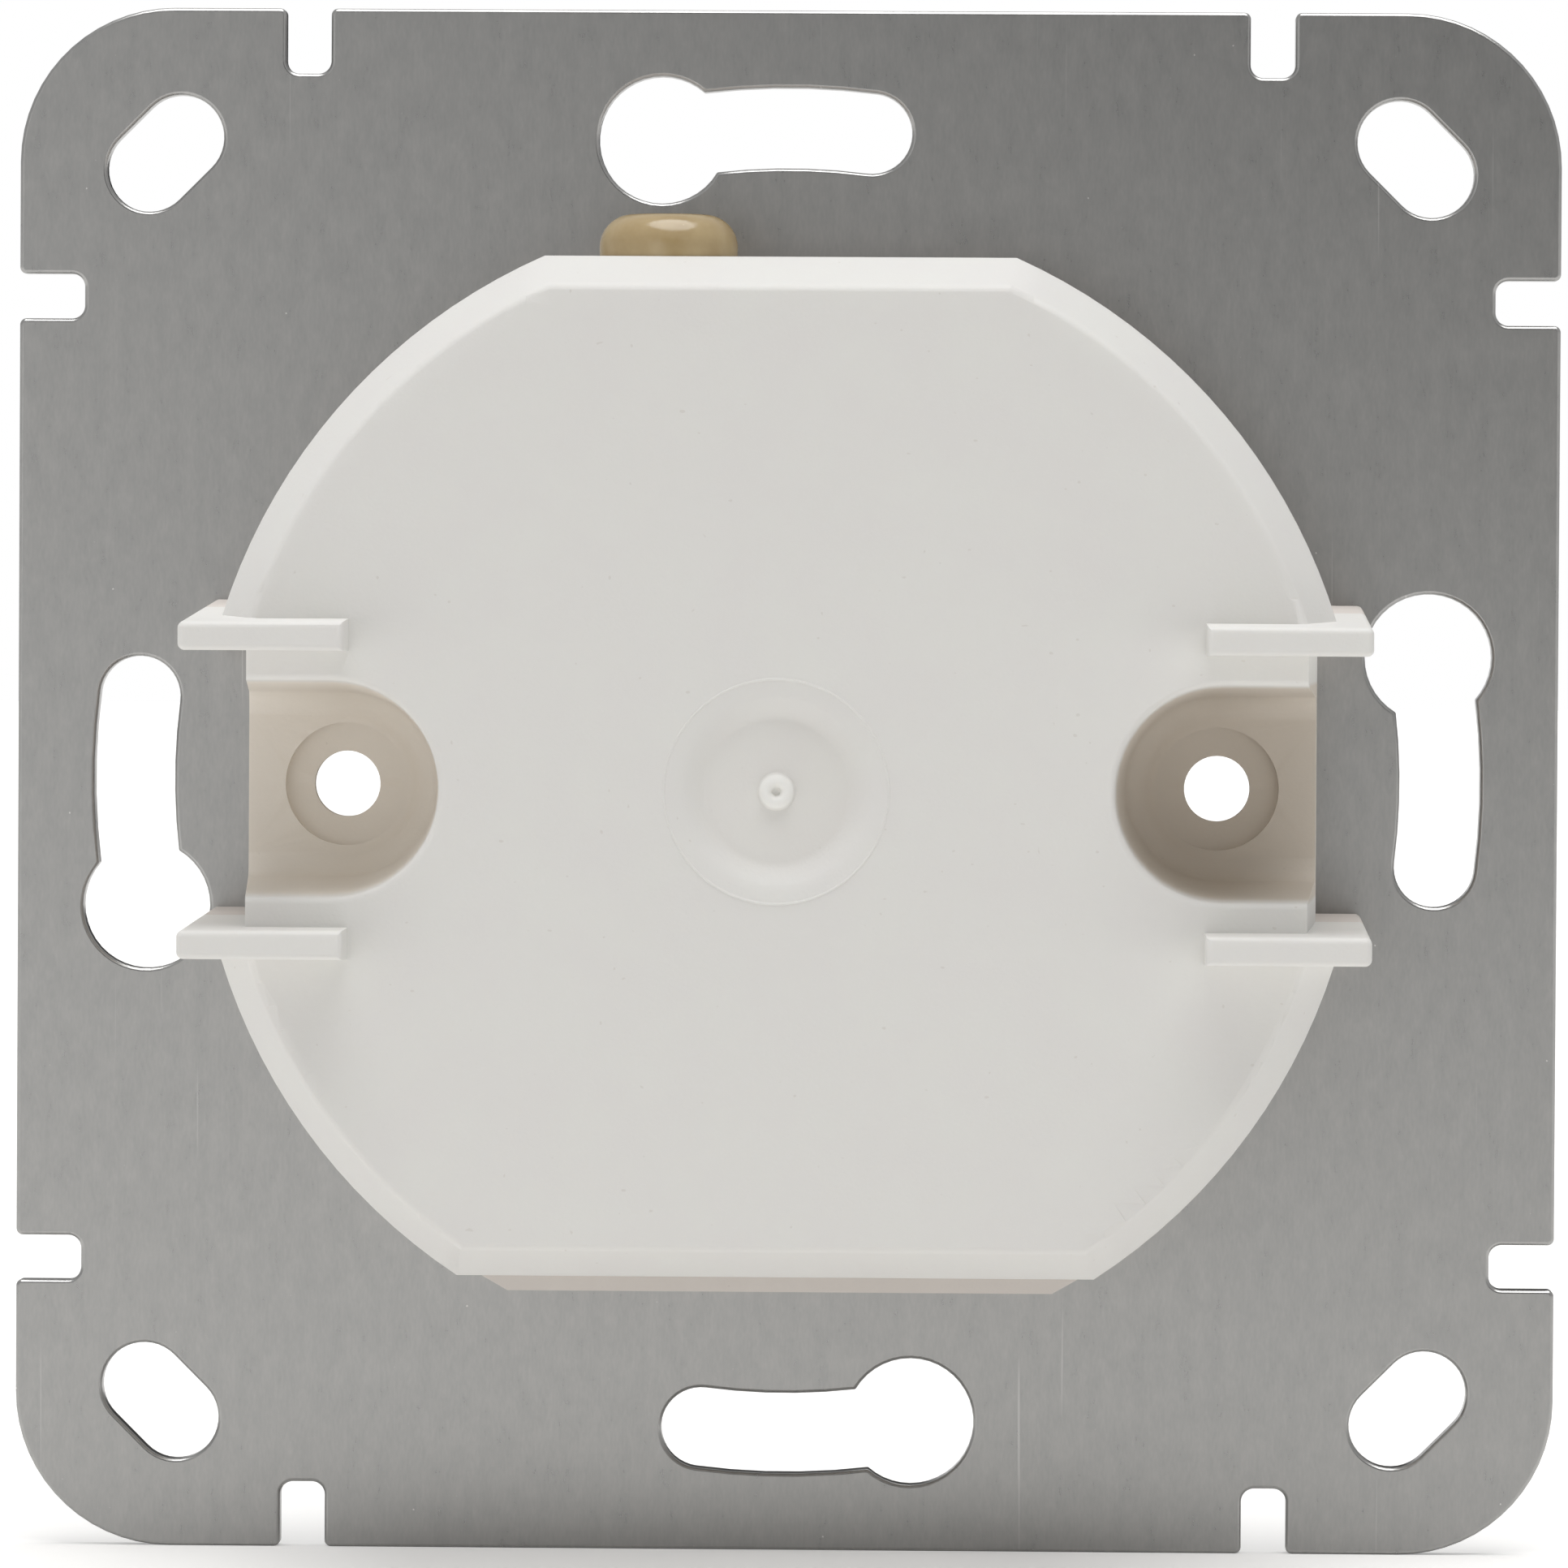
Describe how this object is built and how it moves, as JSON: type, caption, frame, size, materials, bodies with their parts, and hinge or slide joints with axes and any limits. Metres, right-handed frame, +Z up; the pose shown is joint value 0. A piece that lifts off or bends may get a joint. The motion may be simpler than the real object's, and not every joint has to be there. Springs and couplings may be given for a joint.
{
  "type": "flush-mounted rotary dimmer insert",
  "caption": "Rotary dimmer insert with a square steel support plate, a round moulded housing with claw guides, and a push and turn shaft, without cover or knob.",
  "frame": {"origin": "on the shaft axis, at the rear face of the support plate, which lies on the wall", "axes": "+Z up on the wall, +X to the right as seen from the room, +Y into the wall box; the shaft points along -Y into the room"},
  "size_m": [0.071, 0.0465, 0.071],
  "materials": {
    "galvanised_plate": "satin, punched",
    "zinc_steel": "zinc plated",
    "white_moulding": "fine matt moulding",
    "warm_moulding": "fine matt moulding",
    "nickel_brass": "nickel plated",
    "bare_brass": "drawn",
    "board_laminate": "pressed laminate",
    "black_moulding": "moulded",
    "brown_moulding": "moulded",
    "spring_steel": "drawn",
    "tinned_copper": "tinned",
    "ferrite": "sintered",
    "enamelled_wire": "enamelled copper",
    "film_box": "moulded",
    "silicone_pad": "smooth",
    "amber_plastic": "polished",
    "fuse_glass": "clear",
    "resistor_coat": "lacquered"
  },
  "bodies": {
    "root": {"support_plate": "galvanised_plate", "housing_base": "warm_moulding", "rear_cover": "white_moulding", "housing_screws": "zinc_steel", "threaded_bushing": "nickel_brass", "lock_washer": "zinc_steel", "bushing_nut": "nickel_brass", "resistor_disc": "board_laminate", "pot_terminals": "tinned_copper", "pot_housing": "black_moulding", "switch_housing": "black_moulding", "switch_lid": "black_moulding", "switch_contacts": "bare_brass", "switch_spring": "spring_steel", "circuit_board": "board_laminate", "triac": "black_moulding", "triac_pad": "silicone_pad", "triac_screw": "zinc_steel", "triac_nut": "zinc_steel", "choke_core": "ferrite", "choke_winding": "enamelled_wire", "suppression_capacitor": "film_box", "timing_capacitors": "film_box", "diac": "fuse_glass", "resistors": "resistor_coat", "fuse_clips": "bare_brass", "terminal_tabs": "bare_brass"},
    "rotor": {"pot_rotor": "brown_moulding", "rotor_wiper": "bare_brass"},
    "shaft": {"dimmer_shaft": "zinc_steel", "shaft_clip": "spring_steel"},
    "plunger": {"switch_plunger": "brown_moulding", "contact_bridge": "bare_brass"},
    "fuse": {"fuse_carrier": "amber_plastic", "fuse_glass": "fuse_glass", "fuse_caps": "nickel_brass", "fuse_wire": "tinned_copper"},
    "cage_left": {"terminal_cage_left": "zinc_steel"},
    "screw_left": {"terminal_screw_left": "zinc_steel"},
    "cage_middle": {"terminal_cage_middle": "zinc_steel"},
    "screw_middle": {"terminal_screw_middle": "zinc_steel"},
    "cage_right": {"terminal_cage_right": "zinc_steel"},
    "screw_right": {"terminal_screw_right": "zinc_steel"}
  },
  "joints": [
    {"name": "rotor_turn", "type": "hinge", "parent": "root", "child": "rotor", "pos_m": [0, 0, 0], "axis": [0, 1, 0], "range_deg": [-150, 150]},
    {"name": "shaft_push", "type": "slide", "parent": "rotor", "child": "shaft", "axis": [0, 1, 0], "range_m": [0, 0.0016], "stiffness_N_per_m": 1500, "springref_m": -0.002},
    {"name": "plunger_push", "type": "slide", "parent": "root", "child": "plunger", "axis": [0, 1, 0], "range_m": [0, 0.0016], "deforming": ["switch_spring"]},
    {"name": "fuse_pull", "type": "slide", "parent": "root", "child": "fuse", "axis": [0, 0, 1], "range_m": [0, 0.024]},
    {"name": "terminal_turn_left", "type": "hinge", "parent": "root", "child": "screw_left", "pos_m": [-0.0085, 0, -0.0167], "axis": [0, 1, 0], "range_deg": [0, 1080]},
    {"name": "terminal_rise_left", "type": "slide", "parent": "root", "child": "cage_left", "axis": [0, -1, 0], "range_m": [0, 0.0018]},
    {"name": "terminal_turn_middle", "type": "hinge", "parent": "root", "child": "screw_middle", "pos_m": [0, 0, -0.0167], "axis": [0, 1, 0], "range_deg": [0, 1080]},
    {"name": "terminal_rise_middle", "type": "slide", "parent": "root", "child": "cage_middle", "axis": [0, -1, 0], "range_m": [0, 0.0018]},
    {"name": "terminal_turn_right", "type": "hinge", "parent": "root", "child": "screw_right", "pos_m": [0.0085, 0, -0.0167], "axis": [0, 1, 0], "range_deg": [0, 1080]},
    {"name": "terminal_rise_right", "type": "slide", "parent": "root", "child": "cage_right", "axis": [0, -1, 0], "range_m": [0, 0.0018]}
  ],
  "couplings": [
    {"joint": "plunger_push", "follows": "shaft_push", "ratio": 1},
    {"joint": "terminal_turn_left", "follows": "terminal_rise_left", "rad_per_m": 10472},
    {"joint": "terminal_turn_middle", "follows": "terminal_rise_middle", "rad_per_m": 10472},
    {"joint": "terminal_turn_right", "follows": "terminal_rise_right", "rad_per_m": 10472}
  ]
}
